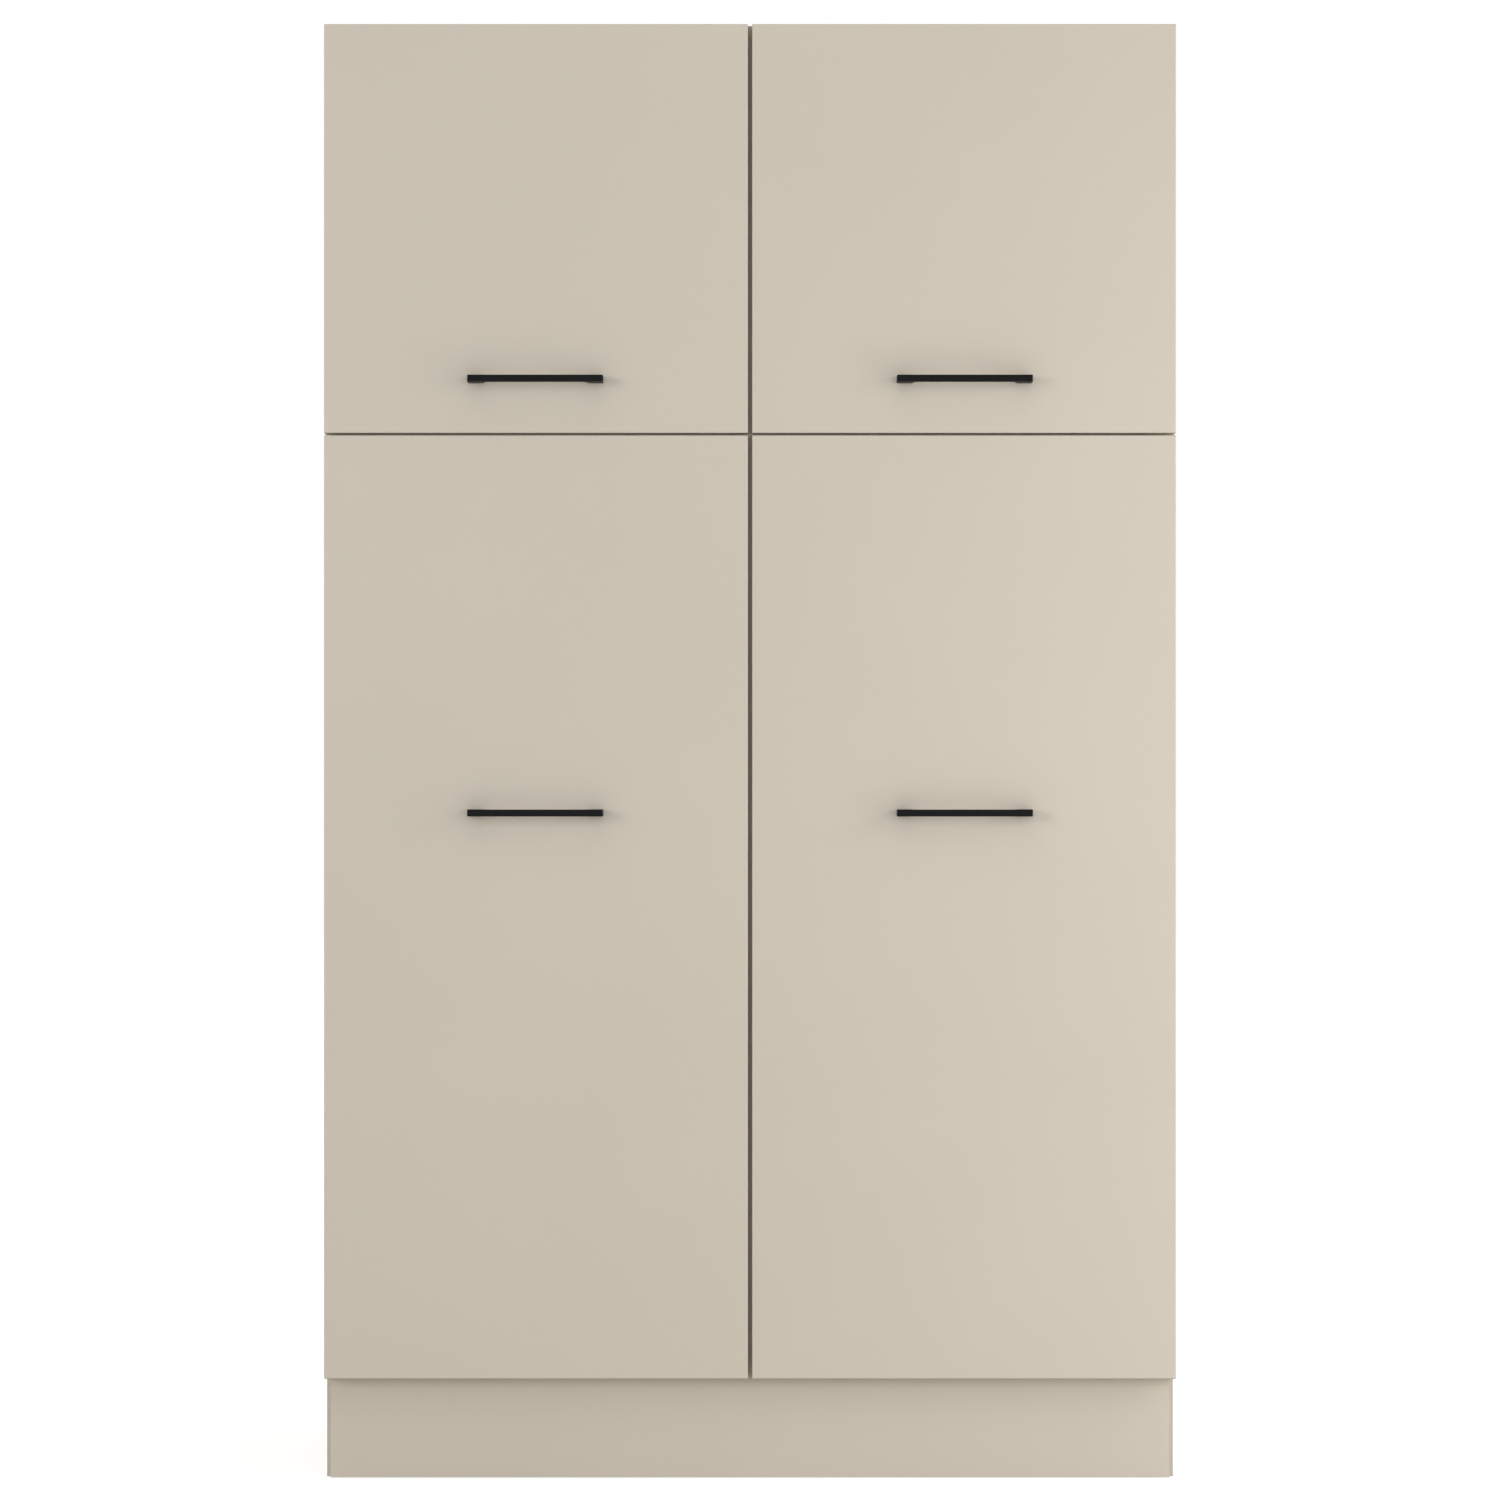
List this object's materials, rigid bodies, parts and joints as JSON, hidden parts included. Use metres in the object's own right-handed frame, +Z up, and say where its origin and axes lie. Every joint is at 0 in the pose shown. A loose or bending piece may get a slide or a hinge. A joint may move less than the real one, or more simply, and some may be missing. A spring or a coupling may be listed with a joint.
{
  "type": "utility cabinet",
  "caption": "Tall freestanding utility cabinet with paired upper and lower hinged doors, bow handles, shelves behind them, a centre partition and a set-back plinth.",
  "frame": {"origin": "on the floor, in the middle of the width and of the whole depth, handles included", "axes": "+X to the right seen from the front, +Y towards the back, +Z up"},
  "size_m": [1.2, 0.6154, 2.053],
  "materials": {
    "front_board": "matt lacquered beige",
    "carcass_board": "matt beige melamine",
    "back_sheet": "matt beige hardboard",
    "handle_metal": "matt black powder coat",
    "hinge_steel": "nickel-plated",
    "screw_steel": "zinc-plated",
    "zinc_fitting": "die-cast zinc",
    "dowel_wood": "plain beech",
    "block_wood": "plain softwood",
    "bumper_soft": "clear soft"
  },
  "bodies": {
    "carcass": {"back_panel_left": "back_sheet", "back_panel_right": "back_sheet", "back_rails": "carcass_board", "bottom_panel": "carcass_board", "cam_bolts": "screw_steel", "cam_locks": "zinc_fitting", "center_partition": "carcass_board", "center_support": "carcass_board", "dowels": "dowel_wood", "fixed_shelf_left": "carcass_board", "fixed_shelf_right": "carcass_board", "high_shelf_left": "carcass_board", "high_shelf_right": "carcass_board", "hinge_arms": "hinge_steel", "hinge_plates": "hinge_steel", "hinge_screws": "screw_steel", "left_side_panel": "carcass_board", "lower_shelf_left": "carcass_board", "lower_shelf_right": "carcass_board", "middle_shelf_left": "carcass_board", "middle_shelf_right": "carcass_board", "partition_screws": "screw_steel", "plinth_blocks": "block_wood", "plinth_board": "front_board", "right_side_panel": "carcass_board", "shelf_pins": "screw_steel", "top_panel": "carcass_board", "upper_shelf_left": "carcass_board", "upper_shelf_right": "carcass_board", "wall_bracket_screws": "screw_steel", "wall_brackets": "screw_steel"},
    "upper_left_door": {"upper_left_bumpers": "bumper_soft", "upper_left_door_panel": "front_board", "upper_left_door_screws": "screw_steel", "upper_left_handle": "handle_metal", "upper_left_hinge_cups": "hinge_steel"},
    "upper_left_long_links": {"upper_left_long_links": "hinge_steel"},
    "upper_left_short_links": {"upper_left_short_links": "hinge_steel"},
    "upper_right_door": {"upper_right_bumpers": "bumper_soft", "upper_right_door_panel": "front_board", "upper_right_door_screws": "screw_steel", "upper_right_handle": "handle_metal", "upper_right_hinge_cups": "hinge_steel"},
    "upper_right_long_links": {"upper_right_long_links": "hinge_steel"},
    "upper_right_short_links": {"upper_right_short_links": "hinge_steel"},
    "lower_left_door": {"lower_left_bumpers": "bumper_soft", "lower_left_door_panel": "front_board", "lower_left_door_screws": "screw_steel", "lower_left_handle": "handle_metal", "lower_left_hinge_cups": "hinge_steel"},
    "lower_left_long_links": {"lower_left_long_links": "hinge_steel"},
    "lower_left_short_links": {"lower_left_short_links": "hinge_steel"},
    "lower_right_door": {"lower_right_bumpers": "bumper_soft", "lower_right_door_panel": "front_board", "lower_right_door_screws": "screw_steel", "lower_right_handle": "handle_metal", "lower_right_hinge_cups": "hinge_steel"},
    "lower_right_long_links": {"lower_right_long_links": "hinge_steel"},
    "lower_right_short_links": {"lower_right_short_links": "hinge_steel"}
  },
  "joints": [
    {"name": "upper_left_door_swing", "type": "hinge", "parent": "upper_left_long_links", "child": "upper_left_door", "pos_m": [-0.5884, -0.25595, 1.765], "axis": [0, 0, -1], "range_deg": [0, 132]},
    {"name": "upper_left_long_link_turn", "type": "hinge", "parent": "carcass", "child": "upper_left_long_links", "pos_m": [-0.5626, -0.24015, 1.765], "axis": [0, 0, 1], "range_deg": [0, 32]},
    {"name": "upper_left_short_link_turn", "type": "hinge", "parent": "carcass", "child": "upper_left_short_links", "pos_m": [-0.5584, -0.23515, 1.765], "axis": [0, 0, 1], "range_deg": [0, 10]},
    {"name": "upper_right_door_swing", "type": "hinge", "parent": "upper_right_long_links", "child": "upper_right_door", "pos_m": [0.5884, -0.25595, 1.765], "axis": [0, 0, 1], "range_deg": [0, 132]},
    {"name": "upper_right_long_link_turn", "type": "hinge", "parent": "carcass", "child": "upper_right_long_links", "pos_m": [0.5626, -0.24015, 1.765], "axis": [0, 0, -1], "range_deg": [0, 32]},
    {"name": "upper_right_short_link_turn", "type": "hinge", "parent": "carcass", "child": "upper_right_short_links", "pos_m": [0.5584, -0.23515, 1.765], "axis": [0, 0, -1], "range_deg": [0, 10]},
    {"name": "lower_left_door_swing", "type": "hinge", "parent": "lower_left_long_links", "child": "lower_left_door", "pos_m": [-0.5884, -0.25595, 0.80925], "axis": [0, 0, -1], "range_deg": [0, 132]},
    {"name": "lower_left_long_link_turn", "type": "hinge", "parent": "carcass", "child": "lower_left_long_links", "pos_m": [-0.5626, -0.24015, 0.80925], "axis": [0, 0, 1], "range_deg": [0, 32]},
    {"name": "lower_left_short_link_turn", "type": "hinge", "parent": "carcass", "child": "lower_left_short_links", "pos_m": [-0.5584, -0.23515, 0.80925], "axis": [0, 0, 1], "range_deg": [0, 10]},
    {"name": "lower_right_door_swing", "type": "hinge", "parent": "lower_right_long_links", "child": "lower_right_door", "pos_m": [0.5884, -0.25595, 0.80925], "axis": [0, 0, 1], "range_deg": [0, 132]},
    {"name": "lower_right_long_link_turn", "type": "hinge", "parent": "carcass", "child": "lower_right_long_links", "pos_m": [0.5626, -0.24015, 0.80925], "axis": [0, 0, -1], "range_deg": [0, 32]},
    {"name": "lower_right_short_link_turn", "type": "hinge", "parent": "carcass", "child": "lower_right_short_links", "pos_m": [0.5584, -0.23515, 0.80925], "axis": [0, 0, -1], "range_deg": [0, 10]}
  ],
  "couplings": [
    {"joint": "upper_left_long_link_turn", "follows": "upper_left_door_swing", "ratio": 0.24242},
    {"joint": "upper_left_short_link_turn", "follows": "upper_left_door_swing", "ratio": 0.075757},
    {"joint": "upper_right_long_link_turn", "follows": "upper_right_door_swing", "ratio": 0.24242},
    {"joint": "upper_right_short_link_turn", "follows": "upper_right_door_swing", "ratio": 0.075757},
    {"joint": "lower_left_long_link_turn", "follows": "lower_left_door_swing", "ratio": 0.24242},
    {"joint": "lower_left_short_link_turn", "follows": "lower_left_door_swing", "ratio": 0.075757},
    {"joint": "lower_right_long_link_turn", "follows": "lower_right_door_swing", "ratio": 0.24242},
    {"joint": "lower_right_short_link_turn", "follows": "lower_right_door_swing", "ratio": 0.075757}
  ]
}
